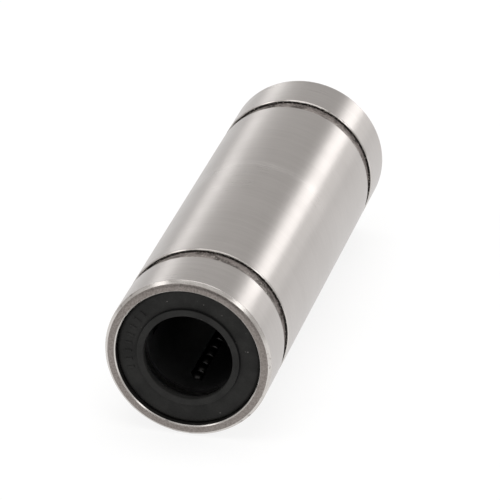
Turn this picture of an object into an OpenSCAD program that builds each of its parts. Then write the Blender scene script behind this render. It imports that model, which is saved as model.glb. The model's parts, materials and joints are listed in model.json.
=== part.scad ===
// Long linear ball bushing with a seal at each end, for an 8 mm shaft.
// The bore runs along Y and the origin is the centre of the bore at mid-length.
// A hardened sleeve holds two moulded ball cages, one behind the other. Each cage
// carries four closed circuits of balls: a load row that rolls on the shaft, a
// return row in a deeper channel, and a half-turn at each end that joins them.

/* [Envelope] */
// Diameter of the shaft that runs in the bore
shaft_d = 8; // [7.8:0.1:8.1]
// Outside diameter of the sleeve
sleeve_d = 15; // [14.9:0.1:16]
// Length of the sleeve over its end faces
sleeve_len = 45; // [44:0.5:60]
// Turn of the whole inside about the bore axis, in degrees
clock_deg = 6; // [-45:1:45]

/* [Retaining grooves] */
// Distance between the outer walls of the two grooves
groove_span = 34.7; // [30:0.1:38]
// Width of each groove
groove_w = 1.5; // [0.8:0.1:1.8]
// Diameter at the bottom of each groove
groove_d = 14.3; // [13.9:0.1:14.6]
// Size of the broken edge along each groove wall
groove_edge = 0.1; // [0.05:0.05:0.25]

/* [Sleeve ends] */
// Size of the outer chamfer at each end
rim_chamfer = 0.4; // [0.2:0.1:0.5]
// Size of the inner chamfer at the mouth of each counterbore
mouth_chamfer = 0.1; // [0.05:0.05:0.3]
// Diameter of the counterbore that takes the end ring and the seal
pocket_d = 13; // [12.9:0.05:13.1]
// Depth of the counterbore
pocket_deep = 2.6; // [2.5:0.1:2.8]

/* [Balls] */
// Diameter of each ball
ball_d = 1.5875; // [1.55:0.0125:1.5875]
// Spacing of the balls along the straight rows
ball_pitch = 1.62; // [1.6:0.01:1.64]
// Balls in each straight row
row_balls = 8; // [4:1:8]
// Ball circuits around each cage
circuits = 4; // [3:1:4]
// Radial clearance between the shaft and the load rows
shaft_play = 0.01; // [0.005:0.005:0.02]
// Radius of the half-turns that join a load row to its return row
turn_r = 1.61; // [1.6:0.005:1.62]
// Outward lean of the half-turns, in degrees
turn_lean = 15; // [12:1:16]
// Radius from the bore axis to the centres of the return rows
return_r = 5.4; // [5.35:0.01:5.4]

/* [Seals] */
// Radial clearance between the shaft and each seal lip
lip_play = 0.01; // [0.005:0.005:0.03]
// Depth of the seal's flat face below the end of the sleeve
seal_sunk = 0.55; // [0.4:0.05:0.6]
// Depth of the lip's rim below the end of the sleeve
lip_sunk = 0.25; // [0.15:0.05:0.3]

/* [Hidden] */
$fn = 96;
ball_fn = 32;
turn_balls = 3;
// How far a cutting solid runs past the face that it cuts
past = 1;
ENDS = ["front", "rear"];
GROUPS = ["load_row", "outer_turn", "return_row", "inner_turn"];

function ball_node(end, group, circuit) = str(end, "_", group, "_", circuit);

// Clearances between one piece and the next
land_play = 0.0125;
ball_play = 0.05625;
cage_play = 0.06;
waist_play = 0.16;
ring_play = 0.04;
seal_play = 0.03;
shaft_to_cage = 0.2;
shaft_to_ring = 0.4;
turn_ease = 0.04;
corner_ease = 0.02;
slot_ease = 0.02;

// Radii from the bore axis
shaft_r = shaft_d / 2;
sleeve_r = sleeve_d / 2;
groove_r = groove_d / 2;
pocket_r = pocket_d / 2;
ball_r = ball_d / 2;
load_r = shaft_r + shaft_play + ball_r;
land_r = load_r + ball_r + land_play;
core_r = return_r + ball_r + ball_play;
cage_in_r = shaft_r + shaft_to_cage;
cage_out_r = core_r - cage_play;
cage_waist_r = land_r - waist_play;
ring_in_r = shaft_r + shaft_to_ring;
ring_out_r = pocket_r - ring_play;

// The triangle between the bore axis, a load line and its return line
row_gap = 2 * turn_r;
return_deg = acos((load_r * load_r + return_r * return_r - row_gap * row_gap) / (2 * load_r * return_r));
return_at = [return_r * cos(return_deg), return_r * sin(return_deg)];
across = return_at - [load_r, 0];
across_deg = atan2(across[1], across[0]);
turn_centre = [load_r + return_at[0], return_at[1]] / 2;
turn_step = 180 / turn_balls;

// Stations along the axis, measured outward from mid-length
half_len = sleeve_len / 2;
pocket_z = half_len - pocket_deep;
end_ring_t = 0.6;
seal_z = pocket_z + end_ring_t;
channel_r = ball_r + ball_play;
turn_channel_r = channel_r + turn_ease;
corner_r = turn_channel_r + corner_ease;
slot_reach = 2 * ball_d;
row_len = row_balls * ball_pitch;
turn_reach = turn_r * cos(turn_lean) + turn_channel_r;
cage_wall = 0.495;
cage_len = row_len + 2 * (turn_reach + cage_wall);
cage_top_z = pocket_z;
cage_foot_z = cage_top_z - cage_len;
row_top_z = cage_top_z - cage_wall - turn_reach;
row_foot_z = row_top_z - row_len;

// Raised lands that the load rows run on, rooted in the sleeve's wall
land_w = 1.5;
land_short = 0.3;
land_root = 0.3;
land_side_gap = 0.25;

// Groove inside the counterbore that the seal's bead snaps into
snap_above_ring = 0.5;
snap_z = seal_z + snap_above_ring;
snap_w = 0.6;
snap_deep = 0.15;

// Seal section
bead_out = 0.1;
bead_w = 0.4;
seal_corner_r = 0.3;
lip_wall = 0.62;
lip_hollow_r = shaft_r + 0.6;
lip_edge = 0.1;
lip_land = 0.4;

// Turns a piece drawn along +Z, outward from mid-length, to its place at one end.
// The rear half is the front half turned end for end.
module placed(end) {
    rotate([0, clock_deg, 0])
        rotate([0, 0, end == "rear" ? 180 : 0])
            rotate([90, 0, 0])
                children();
}

// Places a piece drawn with its load row on +X at one circuit's clock position
module at_circuit(circuit) {
    rotate([0, 0, -90 + (circuit - 1) * 360 / circuits])
        children();
}

module tube(inner, outer, z0, z1) {
    translate([0, 0, z0])
        difference() {
            cylinder(r = outer, h = z1 - z0);
            translate([0, 0, -past])
                cylinder(r = inner, h = z1 - z0 + 2 * past);
        }
}

// Frames for the half-turns: the turn lies in the local XY plane, starts on +X
// and leads off along +Y, and the outside of the cage is towards -Z
module outer_turn_frame() {
    translate([turn_centre[0], turn_centre[1], row_top_z])
        rotate([90 - turn_lean, 0, across_deg + 180])
            children();
}

module inner_turn_frame() {
    translate([turn_centre[0], turn_centre[1], row_foot_z])
        rotate([-90 - turn_lean, 0, across_deg])
            children();
}

// Sleeve

function sleeve_half_outline() = [
    [core_r, pocket_z],
    [pocket_r, pocket_z],
    [pocket_r, snap_z],
    [pocket_r + snap_deep, snap_z],
    [pocket_r + snap_deep, snap_z + snap_w],
    [pocket_r, snap_z + snap_w],
    [pocket_r, half_len - mouth_chamfer],
    [pocket_r + mouth_chamfer, half_len],
    [sleeve_r - rim_chamfer, half_len],
    [sleeve_r, half_len - rim_chamfer],
    [sleeve_r, groove_span / 2 + groove_edge],
    [sleeve_r - groove_edge, groove_span / 2],
    [groove_r, groove_span / 2],
    [groove_r, groove_span / 2 - groove_w],
    [sleeve_r - groove_edge, groove_span / 2 - groove_w],
    [sleeve_r, groove_span / 2 - groove_w - groove_edge]
];

// The outline of one half, then the same points again in reverse for the other
function both_halves(half) = concat(
    half,
    [for (i = [len(half) - 1 : -1 : 0]) [half[i][0], -half[i][1]]]
);

module sleeve_land() {
    root_r = core_r + land_root;
    land_z = row_foot_z + land_short;
    land_len = row_len - 2 * land_short;
    intersection() {
        tube(land_r, root_r, land_z, land_z + land_len);
        translate([shaft_r, -land_w / 2, land_z - past])
            cube([sleeve_r - shaft_r, land_w, land_len + 2 * past]);
    }
}

module outer_sleeve() {
    color([0.72, 0.71, 0.69])
        union() {
            placed("front")
                rotate_extrude()
                    polygon(both_halves(sleeve_half_outline()));
            for (end = ENDS)
                placed(end)
                    for (circuit = [1 : circuits])
                        at_circuit(circuit)
                            sleeve_land();
        }
}

// Moulded cages

// One straight channel, open outward square to the plane of its circuit, with a
// rounded corner at each end where a half-turn joins it
module straight_channel(at) {
    slot_half = channel_r - slot_ease;
    translate([at[0], at[1], row_foot_z]) {
        cylinder(r = channel_r, h = row_len);
        rotate([0, 0, across_deg - 90])
            translate([0, -slot_half, 0])
                cube([slot_reach, 2 * slot_half, row_len]);
        for (z = [0, row_len])
            translate([0, 0, z])
                sphere(r = corner_r);
    }
}

module turn_channel() {
    slot_half = turn_channel_r - slot_ease;
    rotate_extrude(angle = 180)
        translate([turn_r, 0])
            circle(r = turn_channel_r);
    rotate_extrude(angle = 180)
        translate([turn_r - slot_half, -slot_reach])
            square([2 * slot_half, slot_reach]);
}

module circuit_channels() {
    straight_channel([load_r, 0]);
    straight_channel(return_at);
    outer_turn_frame()
        turn_channel();
    inner_turn_frame()
        turn_channel();
}

// Room around a land of the sleeve
module land_relief() {
    w = land_w + 2 * land_side_gap;
    difference() {
        translate([load_r, -w / 2, row_foot_z - land_side_gap])
            cube([ball_d, w, row_len + 2 * land_side_gap]);
        cylinder(r = cage_waist_r, h = 2 * half_len);
    }
}

module cage(end) {
    color([0.16, 0.16, 0.165])
        placed(end)
            difference() {
                tube(cage_in_r, cage_out_r, cage_foot_z, cage_top_z);
                for (circuit = [1 : circuits])
                    at_circuit(circuit) {
                        circuit_channels();
                        land_relief();
                    }
            }
}

// Ring between the two cages
module centre_spacer() {
    color([0.2, 0.2, 0.205])
        placed("front")
            tube(ring_in_r, cage_out_r, -cage_foot_z, cage_foot_z);
}

// Steel ring that holds a cage at the shoulder of the counterbore
module end_ring(end) {
    edge = 0.1;
    color([0.66, 0.66, 0.67])
        placed(end)
            rotate_extrude()
                polygon([
                    [ring_in_r, pocket_z + edge],
                    [ring_in_r + edge, pocket_z],
                    [ring_out_r, pocket_z],
                    [ring_out_r, seal_z - edge],
                    [ring_out_r - edge, seal_z],
                    [ring_in_r, seal_z]
                ]);
}

// Seal ring with a raised lip around the shaft and a bead that snaps into the sleeve
module seal(end) {
    face_z = half_len - seal_sunk;
    rim_z = half_len - lip_sunk;
    body_r = pocket_r - seal_play;
    lip_r = shaft_r + lip_play;
    collar_r = lip_r + lip_wall;
    bead_z = snap_z + (snap_w - bead_w) / 2;
    color([0.18, 0.18, 0.18])
        placed(end)
            rotate_extrude()
                polygon(concat(
                    [
                        [lip_hollow_r, seal_z],
                        [body_r, seal_z],
                        [body_r, bead_z],
                        [body_r + bead_out, bead_z + bead_out / 2],
                        [body_r + bead_out, bead_z + bead_w - bead_out / 2],
                        [body_r, bead_z + bead_w]
                    ],
                    [for (a = [0 : 15 : 90])
                        [body_r - seal_corner_r * (1 - cos(a)), face_z - seal_corner_r * (1 - sin(a))]],
                    [
                        [collar_r + lip_edge, face_z],
                        [collar_r, face_z + lip_edge],
                        [collar_r, rim_z - lip_edge],
                        [collar_r - lip_edge, rim_z],
                        [lip_r + lip_edge, rim_z],
                        [lip_r, rim_z - lip_edge],
                        [lip_r, rim_z - lip_edge - lip_land]
                    ]
                ));
}

// Balls: each group is at the start of its pitch, and moving every group on by
// one pitch brings the circuit back to the same arrangement

module ball() {
    sphere(r = ball_r, $fn = ball_fn);
}

module load_row() {
    for (i = [0 : row_balls - 1])
        translate([load_r, 0, row_foot_z + i * ball_pitch])
            ball();
}

module return_row() {
    for (i = [0 : row_balls - 1])
        translate([return_at[0], return_at[1], row_top_z - i * ball_pitch])
            ball();
}

module turn_group() {
    for (i = [0 : turn_balls - 1])
        rotate([0, 0, i * turn_step])
            translate([turn_r, 0, 0])
                ball();
}

module ball_group(end, group, circuit) {
    color([0.86, 0.86, 0.87])
        placed(end)
            at_circuit(circuit) {
                if (group == "load_row") load_row();
                if (group == "return_row") return_row();
                if (group == "outer_turn") outer_turn_frame() turn_group();
                if (group == "inner_turn") inner_turn_frame() turn_group();
            }
}

outer_sleeve();
centre_spacer();
for (end = ENDS) {
    cage(end);
    end_ring(end);
    seal(end);
    for (group = GROUPS)
        for (circuit = [1 : circuits])
            ball_group(end, group, circuit);
}
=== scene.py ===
"""A long sealed linear ball bushing on a pale floor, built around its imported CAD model.

The bore runs along Y. The sleeve, the seals and the balls are finished meshes that
stand for their CAD nodes. The cages, the spacer and the steel rings are the CAD nodes
themselves, with materials of their own. Outlines are in millimetres, as (y, radius).
"""

import json
import math

import bmesh
import bpy
from mathutils import Matrix, Vector, noise


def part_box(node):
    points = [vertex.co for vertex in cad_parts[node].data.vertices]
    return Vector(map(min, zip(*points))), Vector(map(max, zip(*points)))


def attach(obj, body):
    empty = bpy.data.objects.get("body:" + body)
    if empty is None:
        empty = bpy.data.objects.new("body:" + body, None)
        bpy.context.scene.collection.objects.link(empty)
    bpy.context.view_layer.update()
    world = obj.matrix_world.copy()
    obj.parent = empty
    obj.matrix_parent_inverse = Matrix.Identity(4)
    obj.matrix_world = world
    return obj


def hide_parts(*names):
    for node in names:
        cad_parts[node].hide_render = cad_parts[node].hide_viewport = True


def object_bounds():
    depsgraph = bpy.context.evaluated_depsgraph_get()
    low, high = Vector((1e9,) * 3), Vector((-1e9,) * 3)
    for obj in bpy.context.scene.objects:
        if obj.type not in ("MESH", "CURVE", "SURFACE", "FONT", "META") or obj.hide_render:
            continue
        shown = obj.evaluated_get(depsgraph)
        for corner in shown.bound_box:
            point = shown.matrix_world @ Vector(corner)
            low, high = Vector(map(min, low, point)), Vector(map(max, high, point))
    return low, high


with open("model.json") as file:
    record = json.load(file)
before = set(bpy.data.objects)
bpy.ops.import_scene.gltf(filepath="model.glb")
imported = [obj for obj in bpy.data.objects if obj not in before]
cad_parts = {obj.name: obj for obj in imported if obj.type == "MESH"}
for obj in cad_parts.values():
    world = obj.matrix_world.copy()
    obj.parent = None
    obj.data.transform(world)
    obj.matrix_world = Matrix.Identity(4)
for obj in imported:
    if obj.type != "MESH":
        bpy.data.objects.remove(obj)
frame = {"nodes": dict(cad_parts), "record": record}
CAD_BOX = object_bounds()

MM = 0.001
ROOT = "bushing"
ENDS = {"front": -1, "rear": 1}
MOUNTS = {m["name"]: m for m in frame["record"]["mounts"]}
SLOT_OF = {s["node"]: s["material_slot"] for s in frame["record"]["subparts"]}
BODY_OF = {n: b for b, nodes in frame["record"]["behaviour"]["bodies"].items() for n in nodes}

# The camera's place round the object, in degrees and metres
CAMERA_AZIMUTH = 14.13
CAMERA_ELEVATION = 25.88
CAMERA_DISTANCE = 0.3912
CAMERA_LENS_MM = 307.4

# Sizes that the frame gives, in millimetres
SLEEVE_R = MOUNTS["housing_seat"]["dims"]["r_mm"]
GROOVE_R = MOUNTS["rear_ring_groove"]["dims"]["r_mm"]
GROOVE_W = MOUNTS["rear_ring_groove"]["dims"]["length_mm"]
GROOVE_Y = MOUNTS["rear_ring_groove"]["pos_m"][1] / MM
LIP_R = MOUNTS["shaft_bore"]["dims"]["r_mm"]
HALF_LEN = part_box("outer_sleeve")[1].y / MM
POCKET_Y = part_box("rear_end_ring")[0].y / MM
SEAL_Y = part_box("rear_seal")[0].y / MM
LIP_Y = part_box("rear_seal")[1].y / MM
BEAD_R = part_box("rear_seal")[1].x / MM
CAGE_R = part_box("rear_cage")[1].z / MM
LOAD_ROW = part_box("rear_load_row_1")

# Sizes that repeat the CAD design, in millimetres
CAGE_PLAY = 0.06
CORE_R = CAGE_R + CAGE_PLAY
POCKET_R = 6.5
SNAP_ABOVE_RING = 0.5
SNAP_Y = SEAL_Y + SNAP_ABOVE_RING
SNAP_DEEP = 0.15
SNAP_W = 0.6
RIM_CHAMFER = 0.4
MOUTH_CHAMFER = 0.1
GROOVE_EDGE = 0.1
SEAL_SUNK = 0.55
SEAL_FACE_Y = HALF_LEN - SEAL_SUNK
SEAL_BODY_R = 6.47
SEAL_HOLLOW_R = 4.6
COLLAR_WALL = 0.62
COLLAR_R = LIP_R + COLLAR_WALL
LIP_DEEP = 0.5
LIP_WALL_Y = LIP_Y - LIP_DEEP
BEAD_PLAY = 0.1
BEAD_SLOPE = 0.05
BEAD_FLAT = 0.3
LAND_R = 5.61
LAND_W = 1.5
LAND_INSET = 0.3
CLOCK = math.radians(-6)
CIRCUITS = 4

# Sizes that only the finished meshes have, in millimetres: the roundness of the rim, the
# slope of the lip's collar, and how far the lands reach into the sleeve's wall
RIM_ROUND = 0.45
COLLAR_DRAFT = 0.03
LAND_ROOT = 0.05

# Steps round the sleeve and the seals, and across a land
AROUND = 720
SEAL_AROUND = 1080
LAND_STEPS = 12

# Sides shorter than this, in millimetres, are bevels and aren't divided
SHORT_SIDE = 0.15

# A pale scuff on the sleeve: its middle and half-size, in metres
SCUFF_AT = (0.0022, 0.0028, 0.0070)
SCUFF_SHAPE = (0.0048, 0.0009, 0.0036)

# The studio's surround: its light, and the dark patch in front, in degrees. The patch is
# even inside DARK_INNER and has faded out by DARK_OUTER.
WORLD_LIGHT = 0.61
DARK_LIGHT = 0.03
DARK_AZIMUTH = 12
DARK_ELEVATION = 16
DARK_INNER = 20
DARK_OUTER = 32

# Half the floor's width, in metres
FLOOR_HALF = 2.0


# Meshes --------------------------------------------------------------------------


def rounded(corners, steps=4, guard=0.03):
    """A closed outline with rounded corners. A corner is (y, r, radius, zone), and its
    zone holds for its own arc and for the side that follows. A guard point beside each
    arc keeps the flat sides flat. Returns (y, r, zone) for the start of each side."""
    out = []
    for i, (y, r, radius, zone) in enumerate(corners):
        zone_before = corners[i - 1][3]
        here = Vector((y, r))
        if not radius:
            out.append((y, r, zone))
            continue
        before = (Vector(corners[i - 1][:2]) - here).normalized()
        after = (Vector(corners[(i + 1) % len(corners)][:2]) - here).normalized()
        half = before.angle(after) / 2
        reach = radius / math.tan(half)
        centre = here + (before + after).normalized() * radius / math.sin(half)
        spoke = here + before * reach - centre
        sweep = math.pi - 2 * half
        if before.cross(after) > 0:
            sweep = -sweep
        out.append((*(here + before * (reach + guard)), zone_before))
        for k in range(steps + 1):
            t = sweep * k / steps
            turned = Vector((
                spoke.x * math.cos(t) - spoke.y * math.sin(t),
                spoke.x * math.sin(t) + spoke.y * math.cos(t),
            ))
            out.append((*(centre + turned), zone))
        out.append((*(here + after * (reach + guard)), zone))
    return out


def divided(outline, zone, pieces):
    """The outline with each long side of one zone cut into equal pieces."""
    out = []
    for i, (y, r, side) in enumerate(outline):
        out.append((y, r, side))
        y1, r1, _ = outline[(i + 1) % len(outline)]
        if side == zone and math.hypot(y1 - y, r1 - r) > SHORT_SIDE:
            for k in range(1, pieces):
                t = k / pieces
                out.append((y + (y1 - y) * t, r + (r1 - r) * t, side))
    return out


def lathe(name, outline, zones, shape=None, around=AROUND):
    """Turns a closed outline round the Y axis. shape(y, r, angle, zone) may move a
    point, and gives its new (y, r)."""
    bm = bmesh.new()
    rings = []
    for i, (y, r, zone) in enumerate(outline):
        zone_before = outline[i - 1][2]
        ring = []
        for k in range(around):
            a = 2 * math.pi * k / around
            yy, rr = (y, r) if shape is None or zone != zone_before else shape(y, r, a, zone)
            ring.append(bm.verts.new((rr * math.cos(a) * MM, yy * MM, rr * math.sin(a) * MM)))
        rings.append(ring)
    for i, ring in enumerate(rings):
        after = rings[(i + 1) % len(rings)]
        for k in range(around):
            n = (k + 1) % around
            face = bm.faces.new((ring[k], ring[n], after[n], after[k]))
            face.material_index = zones.index(outline[i][2])
            face.smooth = True
    bmesh.ops.recalc_face_normals(bm, faces=bm.faces)
    return finished(name, bm)


def finished(name, bm, sharp_deg=32):
    """Makes an object of the mesh. Edges that turn by more than sharp_deg stay sharp."""
    mesh = bpy.data.meshes.new(name)
    bm.to_mesh(mesh)
    bm.free()
    mesh.set_sharp_from_angle(angle=math.radians(sharp_deg))
    obj = bpy.data.objects.new(name, mesh)
    bpy.context.scene.collection.objects.link(obj)
    return obj


def stand_for(obj, node, materials):
    """obj takes the place of one CAD node, on the same body, with the materials given."""
    for material in materials:
        obj.data.materials.append(material)
    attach(obj, BODY_OF[node])
    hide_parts(node)


def grain(y, r, a, scale, seed):
    """Smooth noise from -1 to 1 on the surface of the part, with cells 1/scale mm wide."""
    x, z = r * math.cos(a), r * math.sin(a)
    return noise.noise(Vector((x * scale + seed, y * scale, z * scale)))


# Materials -----------------------------------------------------------------------


class Nodes:
    """A material's node tree, with a short call for each kind of node used here."""

    def __init__(self, name):
        self.material = bpy.data.materials.new(name)
        self.material.use_nodes = True
        self.tree = self.material.node_tree
        self.bsdf = self.tree.nodes["Principled BSDF"]

    def add(self, kind, links=(), **settings):
        node = self.tree.nodes.new(kind)
        for key, value in settings.items():
            setattr(node, key, value)
        for socket, source in links:
            self.link(source, node.inputs[socket])
        return node

    def link(self, source, socket):
        if isinstance(source, (int, float, tuple)):
            socket.default_value = source
        else:
            self.tree.links.new(source, socket)

    def set(self, **values):
        for key, value in values.items():
            self.link(value, self.bsdf.inputs[key.replace("_", " ")])

    def place(self, scale):
        """Object coordinates stretched by scale, which is in cells per metre."""
        coords = self.add("ShaderNodeTexCoord")
        mapping = self.add("ShaderNodeMapping", [("Vector", coords.outputs["Object"])])
        mapping.inputs["Scale"].default_value = scale
        return mapping.outputs["Vector"]

    def noise(self, scale, detail=2.0, rough=0.5):
        node = self.add("ShaderNodeTexNoise", [
            ("Vector", self.place(scale)), ("Scale", 1.0), ("Detail", detail), ("Roughness", rough),
        ])
        return node.outputs["Fac"]

    def distance(self, centre, shape):
        """Distance from centre, in units of shape, which is the half-size in metres."""
        coords = self.add("ShaderNodeTexCoord")
        away = self.add("ShaderNodeVectorMath", [(0, coords.outputs["Object"])], operation="SUBTRACT")
        away.inputs[1].default_value = centre
        scaled = self.add("ShaderNodeVectorMath", [(0, away.outputs["Vector"])], operation="DIVIDE")
        scaled.inputs[1].default_value = shape
        length = self.add("ShaderNodeVectorMath", [(0, scaled.outputs["Vector"])], operation="LENGTH")
        return length.outputs["Value"]

    def fit(self, source, low, high, to_low, to_high):
        node = self.add("ShaderNodeMapRange", [
            ("Value", source), ("From Min", low), ("From Max", high),
            ("To Min", to_low), ("To Max", to_high),
        ])
        return node.outputs["Result"]

    def ramp(self, source, stops):
        node = self.add("ShaderNodeValToRGB", [("Fac", source)])
        ramp = node.color_ramp
        while len(ramp.elements) < len(stops):
            ramp.elements.new(1.0)
        for element, (at, colour) in zip(ramp.elements, stops):
            element.position = at
            element.color = (*colour, 1.0)
        return node.outputs["Color"]

    def mix(self, factor, one, two):
        node = self.add("ShaderNodeMix", data_type="RGBA")
        self.link(factor, node.inputs["Factor"])
        self.link(one, node.inputs["A"])
        self.link(two, node.inputs["B"])
        return node.outputs["Result"]

    def maths(self, operation, a, b):
        node = self.add("ShaderNodeMath", operation=operation)
        self.link(a, node.inputs[0])
        self.link(b, node.inputs[1])
        return node.outputs["Value"]

    def bump(self, height, distance, strength=1.0):
        node = self.add("ShaderNodeBump", [
            ("Height", height), ("Distance", distance), ("Strength", strength),
        ])
        self.link(node.outputs["Normal"], self.bsdf.inputs["Normal"])


def ground_steel():
    """Fine-ground bearing steel: grinding lines run round the sleeve, over a fine grit,
    and one pale scuff lies on top towards the rear."""
    n = Nodes("ground_steel")
    fine = n.noise((500, 16000, 500), detail=3.0, rough=0.6)
    lines = n.noise((90, 3600, 90), detail=2.0)
    grit = n.noise((5200, 6400, 5200), detail=2.0, rough=0.6)
    patches = n.noise((180, 260, 180), detail=2.0)
    both = n.maths("ADD", n.maths("MULTIPLY", fine, 0.6), n.maths("MULTIPLY", lines, 0.4))
    base = n.ramp(both, [(0.25, (0.450, 0.423, 0.407)), (0.75, (0.540, 0.510, 0.492))])
    worn = n.fit(n.noise((900, 5200, 900), detail=3.0, rough=0.7), 0.46, 0.62, 0.15, 1.0)
    scuff = n.maths("MULTIPLY", n.fit(n.distance(SCUFF_AT, SCUFF_SHAPE), 0.25, 1.0, 0.55, 0.0), worn)
    n.set(
        Metallic=1.0,
        Base_Color=n.mix(scuff, base, (0.70, 0.67, 0.65, 1.0)),
        Roughness=n.fit(n.maths("ADD", both, patches), 0.6, 1.4, 0.26, 0.34),
        Anisotropic=0.6,
        Anisotropic_Rotation=0.25,
    )
    tangent = n.add("ShaderNodeTangent", direction_type="RADIAL", axis="Y")
    n.link(tangent.outputs["Tangent"], n.bsdf.inputs["Tangent"])
    n.bump(n.maths("ADD", both, n.maths("MULTIPLY", grit, 1.8)), 0.0000015)
    return n.material


def edge_steel():
    """Small bevels and rounded edges, polished by the last grinding pass."""
    n = Nodes("edge_steel")
    fine = n.noise((900, 9000, 900), detail=3.0, rough=0.6)
    stain = n.fit(n.noise((1300, 1300, 1300), detail=2.0), 0.64, 0.70, 0.0, 0.45)
    base = n.ramp(fine, [(0.3, (0.54, 0.51, 0.485)), (0.7, (0.66, 0.63, 0.605))])
    n.set(
        Metallic=1.0,
        Base_Color=n.mix(stain, base, (0.10, 0.08, 0.07, 1.0)),
        Roughness=n.fit(fine, 0.3, 0.7, 0.16, 0.26),
    )
    n.bump(fine, 0.000002)
    return n.material


def face_steel():
    """The end faces, ground flat across, a little browner and rougher."""
    n = Nodes("face_steel")
    fine = n.noise((6500, 6500, 6500), detail=3.0, rough=0.65)
    n.set(
        Metallic=1.0,
        Base_Color=n.ramp(fine, [(0.3, (0.17, 0.148, 0.135)), (0.7, (0.35, 0.318, 0.298))]),
        Roughness=n.fit(fine, 0.3, 0.7, 0.38, 0.55),
    )
    n.bump(fine, 0.000004)
    return n.material


def scaled_steel(name, dark, light, metal, rough, specks):
    """Turned steel that keeps its dark heat-treatment scale, with bright specks."""
    n = Nodes(name)
    turned = n.noise((400, 9000, 400), detail=3.0, rough=0.6)
    cells = n.noise((7500, 7500, 7500), detail=2.0, rough=0.6)
    scale = n.fit(n.noise((650, 900, 650), detail=4.0, rough=0.65), 0.40, 0.52, 0.85, 0.0)
    base = n.mix(scale, n.ramp(turned, [(0.3, dark), (0.7, light)]), (0.05, 0.04, 0.036, 1.0))
    speck = n.fit(cells, specks, specks + 0.03, 0.0, 1.0)
    n.set(
        Metallic=n.fit(turned, 0.3, 0.7, metal - 0.1, metal + 0.1),
        Base_Color=n.mix(speck, base, (0.62, 0.58, 0.53, 1.0)),
        Roughness=n.fit(cells, 0.3, 0.7, rough, rough - 0.2),
    )
    n.bump(cells, 0.00001)
    return n.material


def bore_steel():
    """The inside of the sleeve and the lands that the balls roll on."""
    n = Nodes("bore_steel")
    lines = n.noise((600, 9000, 600), detail=3.0)
    n.set(
        Metallic=1.0,
        Base_Color=n.ramp(lines, [(0.3, (0.24, 0.23, 0.22)), (0.7, (0.34, 0.33, 0.32))]),
        Roughness=n.fit(lines, 0.3, 0.7, 0.28, 0.42),
    )
    n.bump(lines, 0.000002)
    return n.material


def ring_steel():
    """Pressed steel end rings, with a faint rolled grain."""
    n = Nodes("ring_steel")
    rolled = n.noise((700, 2500, 7000), detail=3.0)
    n.set(
        Metallic=1.0,
        Base_Color=n.ramp(rolled, [(0.3, (0.12, 0.118, 0.115)), (0.7, (0.20, 0.197, 0.193))]),
        Roughness=n.fit(rolled, 0.3, 0.7, 0.3, 0.45),
    )
    n.bump(rolled, 0.000003)
    return n.material


def ball_steel():
    """Polished balls with a trace of oil haze in their roughness. Their colour is painted near-black,
    as painted shade of the dark bore they lie in.
    """
    n = Nodes("ball_steel")
    haze = n.noise((900, 900, 900), detail=3.0)
    n.set(
        Metallic=1.0,
        # Near-black base colour: painted shade of the bore, far darker than the steel's own colour.
        Base_Color=n.ramp(haze, [(0.3, (0.042, 0.041, 0.040)), (0.7, (0.065, 0.064, 0.063))]),
        Roughness=n.fit(haze, 0.3, 0.7, 0.26, 0.34),
    )
    return n.material


def cage_resin(name, dark, light):
    """Moulded resin with a fine spark-eroded grain."""
    n = Nodes(name)
    fine = n.noise((11000, 11000, 11000), detail=3.0, rough=0.6)
    cloud = n.noise((500, 500, 500), detail=2.0)
    n.set(
        Base_Color=n.ramp(cloud, [(0.35, dark), (0.65, light)]),
        Roughness=n.fit(fine, 0.3, 0.7, 0.42, 0.6),
        Specular_IOR_Level=0.2,
    )
    n.bump(fine, 0.000006)
    return n.material


def seal_rubber(name, dark, light, dust=0.765):
    """Matte moulded rubber with a fine grain, faint clouds and a few specks of dust."""
    n = Nodes(name)
    fine = n.noise((8000, 8000, 8000), detail=3.0, rough=0.65)
    cloud = n.noise((700, 700, 700), detail=3.0)
    flecks = n.noise((3200, 3200, 3200), detail=1.0)
    base = n.ramp(cloud, [(0.35, dark), (0.65, light)])
    n.set(
        Base_Color=n.mix(n.fit(flecks, dust, dust + 0.03, 0.0, 0.6), base, (0.22, 0.21, 0.20, 1.0)),
        Roughness=n.fit(fine, 0.3, 0.7, 0.62, 0.8),
        Specular_IOR_Level=0.25,
    )
    n.bump(fine, 0.000008)
    return n.material


def floor_white():
    """A matte floor whose own glow gives most of its brightness, which keeps it near white
    and its shadows pale."""
    n = Nodes("floor_white")
    mottle = n.noise((60, 60, 60), detail=3.0)
    n.set(
        Base_Color=n.ramp(mottle, [(0.3, (0.24, 0.24, 0.24)), (0.7, (0.26, 0.26, 0.26))]),
        Roughness=0.9,
        Specular_IOR_Level=0.0,
        Emission_Color=(1.0, 1.0, 1.0, 1.0),
        Emission_Strength=0.80,
    )
    return n.material


GROUND = ground_steel()
FACE = face_steel()
EDGE = edge_steel()
GROOVE_FLOOR = scaled_steel(
    "groove_floor_steel", dark=(0.17, 0.146, 0.136), light=(0.38, 0.336, 0.318),
    metal=0.35, rough=0.6, specks=0.60,
)
# Near-black walls: heat-treat scale, darkened well below the floor as painted shade in the groove.
SHADED_GROOVE_WALL = scaled_steel(
    "groove_wall_steel", dark=(0.006, 0.005, 0.005), light=(0.022, 0.018, 0.016),
    metal=0.5, rough=0.6, specks=0.61,
)
BORE = bore_steel()
RING = ring_steel()
SHADED_BALL_STEEL = ball_steel()
RESIN = cage_resin("cage_resin", (0.016, 0.016, 0.0165), (0.024, 0.024, 0.0245))
SPACER_RESIN = cage_resin("spacer_resin", (0.026, 0.026, 0.027), (0.038, 0.038, 0.039))
RUBBER = seal_rubber("seal_rubber", (0.0140, 0.0138, 0.0130), (0.0222, 0.0218, 0.0206))
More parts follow.
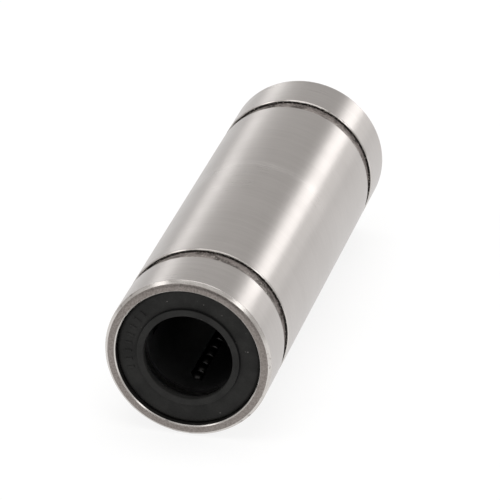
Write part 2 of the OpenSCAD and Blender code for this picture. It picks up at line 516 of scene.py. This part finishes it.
# A near-black copy of the seal rubber: painted shade at the root of the lip's collar.
PAINTED_SHADE_RUBBER = seal_rubber("crease_rubber", (0.003, 0.003, 0.003), (0.006, 0.006, 0.006))
LIP_RUBBER = seal_rubber("lip_rubber", (0.0146, 0.0145, 0.0136), (0.0220, 0.0218, 0.0206))


# Sleeve --------------------------------------------------------------------------

SLEEVE_FINISH = {
    "ground": GROUND,
    "face": FACE,
    "edge": EDGE,
    "groove_floor": GROOVE_FLOOR,
    "groove_wall": SHADED_GROOVE_WALL,
    "bore": BORE,
}

# How far the groove's turned walls and floor wander, in millimetres, and how finely
WALL_WAVE = 0.009
WALL_RIPPLE = 0.006
FLOOR_WAVE = 0.004
WALL_PIECES = 5
FLOOR_PIECES = 12


def sleeve_half():
    """Corners of the sleeve's rear half, from its bore round the end to its outside."""
    outer = GROOVE_Y + GROOVE_W / 2
    inner = GROOVE_Y - GROOVE_W / 2
    snap_end = SNAP_Y + SNAP_W
    return [
        (POCKET_Y, CORE_R, 0.04, "bore"),
        (POCKET_Y, POCKET_R, 0, "bore"),
        (SNAP_Y, POCKET_R, 0.03, "bore"),
        (SNAP_Y, POCKET_R + SNAP_DEEP, 0, "bore"),
        (snap_end, POCKET_R + SNAP_DEEP, 0, "bore"),
        (snap_end, POCKET_R, 0.03, "bore"),
        (HALF_LEN - MOUTH_CHAMFER, POCKET_R, 0.03, "edge"),
        (HALF_LEN, POCKET_R + MOUTH_CHAMFER, 0.03, "face"),
        (HALF_LEN, SLEEVE_R - RIM_CHAMFER, RIM_ROUND, "edge"),
        (HALF_LEN - RIM_CHAMFER, SLEEVE_R, 0.05, "ground"),
        (outer + GROOVE_EDGE, SLEEVE_R, 0.04, "edge"),
        (outer, SLEEVE_R - GROOVE_EDGE, 0.03, "groove_wall"),
        (outer, GROOVE_R, 0.04, "groove_floor"),
        (inner, GROOVE_R, 0.04, "groove_wall"),
        (inner, SLEEVE_R - GROOVE_EDGE, 0.03, "edge"),
        (inner - GROOVE_EDGE, SLEEVE_R, 0.04, "ground"),
    ]


def mirrored(corners):
    """The same corners at the other end, in reverse order, each with the zone of the
    side that then follows it."""
    out = []
    for i in range(len(corners) - 1, -1, -1):
        y, r, radius, _ = corners[i]
        zone = corners[i - 1][3] if i else "bore"
        out.append((-y, r, radius, zone))
    return out


def worn_groove(y, r, a, zone):
    """Rough turned walls and a lightly ridged floor in the ring grooves."""
    if zone == "groove_wall":
        wave = WALL_WAVE * grain(y, r, a, 4.0, 3.0)
        ripple = WALL_RIPPLE * grain(y, r, a, 12.0, 9.0)
        return y + wave + ripple, r
    if zone == "groove_floor":
        return y, r + FLOOR_WAVE * grain(y * 3, r, a, 2.5, 5.0)
    return y, r


def build_sleeve():
    half = sleeve_half()
    outline = rounded(half + mirrored(half))
    outline = divided(outline, "groove_wall", WALL_PIECES)
    outline = divided(outline, "groove_floor", FLOOR_PIECES)
    sleeve = lathe("sleeve_turned", outline, list(SLEEVE_FINISH), shape=worn_groove)
    stand_for(sleeve, "outer_sleeve", SLEEVE_FINISH.values())


def build_lands():
    """The raised lands inside the sleeve, one behind each load row."""
    bm = bmesh.new()
    y0, y1 = LOAD_ROW[0].y / MM, LOAD_ROW[1].y / MM
    ball_r = (LOAD_ROW[1].x - LOAD_ROW[0].x) / MM / 2
    short = LAND_INSET + ball_r
    half_a = math.asin(LAND_W / 2 / LAND_R)
    root_r = CORE_R + LAND_ROOT
    for sign in ENDS.values():
        for k in range(CIRCUITS):
            mid = CLOCK + k * 2 * math.pi / CIRCUITS
            grid = []
            for y in (y0 + short, y1 - short):
                for r in (LAND_R, root_r):
                    row = []
                    for s in range(LAND_STEPS + 1):
                        a = mid + half_a * (2 * s / LAND_STEPS - 1)
                        place = (r * math.cos(a) * MM, sign * y * MM, r * math.sin(a) * MM)
                        row.append(bm.verts.new(place))
                    grid.append(row)
            inner0, outer0, inner1, outer1 = grid
            section = (inner0, inner1, outer1, outer0)
            for s in range(LAND_STEPS):
                for one, two in zip(section, section[1:] + section[:1]):
                    bm.faces.new((one[s], one[s + 1], two[s + 1], two[s])).smooth = True
            for s in (0, LAND_STEPS):
                bm.faces.new((inner0[s], inner1[s], outer1[s], outer0[s]))
    bmesh.ops.recalc_face_normals(bm, faces=bm.faces)
    lands = finished("sleeve_lands", bm)
    lands.data.materials.append(BORE)
    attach(lands, ROOT)


# Seals ---------------------------------------------------------------------------

# The collar's outer wall takes the near-black rubber as painted shade.
SEAL_FINISH = {"rubber": RUBBER, "crease": PAINTED_SHADE_RUBBER, "lip": LIP_RUBBER}
MOULDED_WAVE = 0.006

# The raised ticks: where they are round the seal, and their size in millimetres. TICK_FADE
# is the width of a tick's sloping side, and TICK_EDGE is the tolerance at its ends.
TICK_FIRST = math.radians(138)
TICK_STEP = math.radians(8.5)
TICKS = 8
TICK_R = (5.15, 5.75)
TICK_HALF_W = 0.11
TICK_HIGH = 0.08
TICK_FADE = 0.04
TICK_EDGE = 0.01


def seal_corners():
    """Corners of the rear seal's section, from its hollow round the outside to the lip."""
    bead_y = SNAP_Y + BEAD_PLAY
    return [
        (SEAL_Y, SEAL_HOLLOW_R, 0, "rubber"),
        (SEAL_Y, SEAL_BODY_R, 0.05, "rubber"),
        (bead_y, SEAL_BODY_R, 0, "rubber"),
        (bead_y + BEAD_SLOPE, BEAD_R, 0.03, "rubber"),
        (bead_y + BEAD_SLOPE + BEAD_FLAT, BEAD_R, 0.03, "rubber"),
        (bead_y + BEAD_SLOPE * 2 + BEAD_FLAT, SEAL_BODY_R, 0, "rubber"),
        (SEAL_FACE_Y, SEAL_BODY_R, 0.3, "rubber"),
        # The collar's outer wall, in the near-black rubber as painted shade.
        (SEAL_FACE_Y, COLLAR_R + COLLAR_DRAFT, 0.05, "crease"),
        (LIP_Y, COLLAR_R, 0.06, "lip"),
        (LIP_Y, LIP_R, 0.10, "lip"),
        (LIP_WALL_Y, LIP_R, 0.03, "lip"),
    ]


def moulded(end):
    """How one seal's face departs from its outline: a soft moulded unevenness, and a
    row of plain raised ticks on the annulus."""
    seed = 20.0 + ENDS[end]

    def shape(y, r, a, zone):
        if y > SEAL_Y + 0.2:
            y += MOULDED_WAVE * grain(y, r, a, 0.8, seed)
        on_face = zone == "rubber" and y > SEAL_FACE_Y - 0.02
        if on_face and TICK_R[0] - TICK_EDGE < r < TICK_R[1] + TICK_EDGE:
            turn = (a - TICK_FIRST) / TICK_STEP
            nearest = min(max(round(turn), 0), TICKS - 1)
            away = abs(turn - nearest) * TICK_STEP * r
            side = max(0.0, min(1.0, (TICK_HALF_W - away) / TICK_FADE + 0.5))
            y += TICK_HIGH * side
        return y, r

    return shape


def with_tick_stations(outline):
    """Adds circles to the seal's flat face, close together where the ticks start and
    stop, so that the ticks have crisp ends."""
    out = []
    for i, (y, r, zone) in enumerate(outline):
        out.append((y, r, zone))
        y1, r1, _ = outline[(i + 1) % len(outline)]
        if abs(y - SEAL_FACE_Y) < 1e-6 and abs(y1 - SEAL_FACE_Y) < 1e-6 and r - r1 > 1.0:
            low, high = TICK_R
            stations = [high + 0.25, high + 0.03, high, high - 0.05, (high + low) / 2]
            stations += [low + 0.05, low, low - 0.03, low - 0.25]
            out += [(y, s, zone) for s in stations if r1 < s < r]
    return out


def build_seal(end):
    outline = with_tick_stations(rounded(seal_corners(), steps=6))
    zones = list(SEAL_FINISH)
    seal = lathe(f"{end}_seal_moulded", outline, zones, shape=moulded(end), around=SEAL_AROUND)
    if end == "front":
        for v in seal.data.vertices:
            v.co.y = -v.co.y
        seal.data.flip_normals()
    stand_for(seal, f"{end}_seal", SEAL_FINISH.values())


# Balls ---------------------------------------------------------------------------


def ball_centres(obj):
    """Centre and radius of each loose ball in a CAD node, in metres."""
    bm = bmesh.new()
    bm.from_mesh(obj.data)
    bmesh.ops.remove_doubles(bm, verts=bm.verts, dist=1e-7)
    found, seen = [], set()
    for start in bm.verts:
        if start in seen:
            continue
        seen.add(start)
        stack, group = [start], []
        while stack:
            v = stack.pop()
            group.append(v.co.copy())
            for edge in v.link_edges:
                other = edge.other_vert(v)
                if other not in seen:
                    seen.add(other)
                    stack.append(other)
        low = Vector(map(min, *group))
        high = Vector(map(max, *group))
        centre = (low + high) / 2
        found.append((centre, max((p - centre).length for p in group)))
    bm.free()
    return found


def build_balls(node):
    """Smooth balls in the places of one CAD node's balls."""
    bm = bmesh.new()
    for centre, radius in ball_centres(frame["nodes"][node]):
        made = bmesh.ops.create_icosphere(bm, subdivisions=4, radius=radius)
        bmesh.ops.translate(bm, verts=made["verts"], vec=centre)
    for face in bm.faces:
        face.smooth = True
    stand_for(finished(f"{node}_balls", bm, sharp_deg=180), node, [SHADED_BALL_STEEL])


# Pieces that stay as CAD nodes -----------------------------------------------------


def finish_cad_node(node, material):
    """Gives a CAD node that stays a material of its own, and smooth shading."""
    obj = frame["nodes"][node]
    obj.data.materials.clear()
    obj.data.materials.append(material)
    for polygon in obj.data.polygons:
        polygon.use_smooth = True


# Light, floor and camera -----------------------------------------------------------


def direction(azimuth, elevation):
    """From the object towards a place round it; azimuth 0 is in front, at -Y."""
    a, e = math.radians(azimuth), math.radians(elevation)
    return Vector((math.sin(a) * math.cos(e), -math.cos(a) * math.cos(e), math.sin(e)))


def softbox(name, around, along, distance, size, radiance):
    """A rectangular light that faces the object. around is its angle about the bore axis
    from +X towards +Z, along is its angle from the +Y end of that axis, and size is its
    width in the first of these and its length in the second."""
    psi, theta = math.radians(around), math.radians(along)
    z = Vector((math.sin(theta) * math.cos(psi), math.cos(theta), math.sin(theta) * math.sin(psi)))
    y = Vector((math.cos(theta) * math.cos(psi), -math.sin(theta), math.cos(theta) * math.sin(psi)))
    data = bpy.data.lights.new(name, "AREA")
    data.shape = "RECTANGLE"
    data.size, data.size_y = size
    data.energy = radiance * math.pi * size[0] * size[1]
    light = bpy.data.objects.new(name, data)
    turn = Matrix((y.cross(z), y, z)).transposed().to_4x4()
    light.matrix_world = Matrix.Translation(z * distance) @ turn
    light.visible_camera = False
    bpy.context.scene.collection.objects.link(light)


def build_world():
    """An even surround with a dark patch at the front, where a photographer stands."""
    world = bpy.data.worlds.new("studio")
    world.use_nodes = True
    nodes, links = world.node_tree.nodes, world.node_tree.links
    coords = nodes.new("ShaderNodeTexCoord")
    facing = nodes.new("ShaderNodeVectorMath")
    facing.operation = "DOT_PRODUCT"
    facing.inputs[1].default_value = direction(DARK_AZIMUTH, DARK_ELEVATION)
    level = nodes.new("ShaderNodeMapRange")
    level.interpolation_type = "SMOOTHSTEP"
    level.inputs["From Min"].default_value = math.cos(math.radians(DARK_OUTER))
    level.inputs["From Max"].default_value = math.cos(math.radians(DARK_INNER))
    level.inputs["To Min"].default_value = WORLD_LIGHT
    level.inputs["To Max"].default_value = DARK_LIGHT
    background = nodes["Background"]
    background.inputs["Color"].default_value = (1.0, 0.99, 0.975, 1.0)
    links.new(coords.outputs["Generated"], facing.inputs[0])
    links.new(facing.outputs["Value"], level.inputs["Value"])
    links.new(level.outputs["Result"], background.inputs["Strength"])
    bpy.context.scene.world = world


def build_studio():
    """The surround, the softboxes and the floor that the sleeve lies on."""
    build_world()
    softbox("key_above", around=90, along=90, distance=0.9, size=(0.7, 0.7), radiance=1.8)
    softbox("back_right", around=33, along=29, distance=0.8, size=(0.155, 0.45), radiance=2.0)
    softbox("back_right_fill", around=10, along=29, distance=0.8, size=(0.14, 0.45), radiance=0.7)
    softbox("back_left", around=155, along=29, distance=0.8, size=(0.10, 0.45), radiance=1.85)
    softbox("front_right", around=43, along=118, distance=0.8, size=(0.16, 0.4), radiance=1.6)
    softbox("front_left", around=132, along=110, distance=0.8, size=(0.16, 0.4), radiance=1.4)

    bm = bmesh.new()
    bmesh.ops.create_grid(bm, x_segments=1, y_segments=1, size=FLOOR_HALF)
    floor = finished("floor", bm)
    floor.location.z = CAD_BOX[0].z
    floor.data.materials.append(floor_white())


def build_camera():
    """A long lens, aimed at the middle of the object."""
    data = bpy.data.cameras.new("camera")
    data.lens = CAMERA_LENS_MM
    data.sensor_width = 36.0
    data.clip_start, data.clip_end = 0.01, 10.0
    camera = bpy.data.objects.new("camera", data)
    back = direction(CAMERA_AZIMUTH, CAMERA_ELEVATION)
    camera.location = back * CAMERA_DISTANCE
    camera.rotation_euler = (-back).to_track_quat("-Z", "Y").to_euler()
    bpy.context.scene.collection.objects.link(camera)
    bpy.context.scene.camera = camera


# Everything ------------------------------------------------------------------------

bpy.context.scene.view_settings.view_transform = "Standard"

build_sleeve()
build_lands()
for end in ENDS:
    build_seal(end)
    finish_cad_node(f"{end}_cage", RESIN)
    finish_cad_node(f"{end}_end_ring", RING)
finish_cad_node("centre_spacer", SPACER_RESIN)
for node, slot_name in SLOT_OF.items():
    if slot_name == "ball_steel":
        build_balls(node)
build_studio()
build_camera()
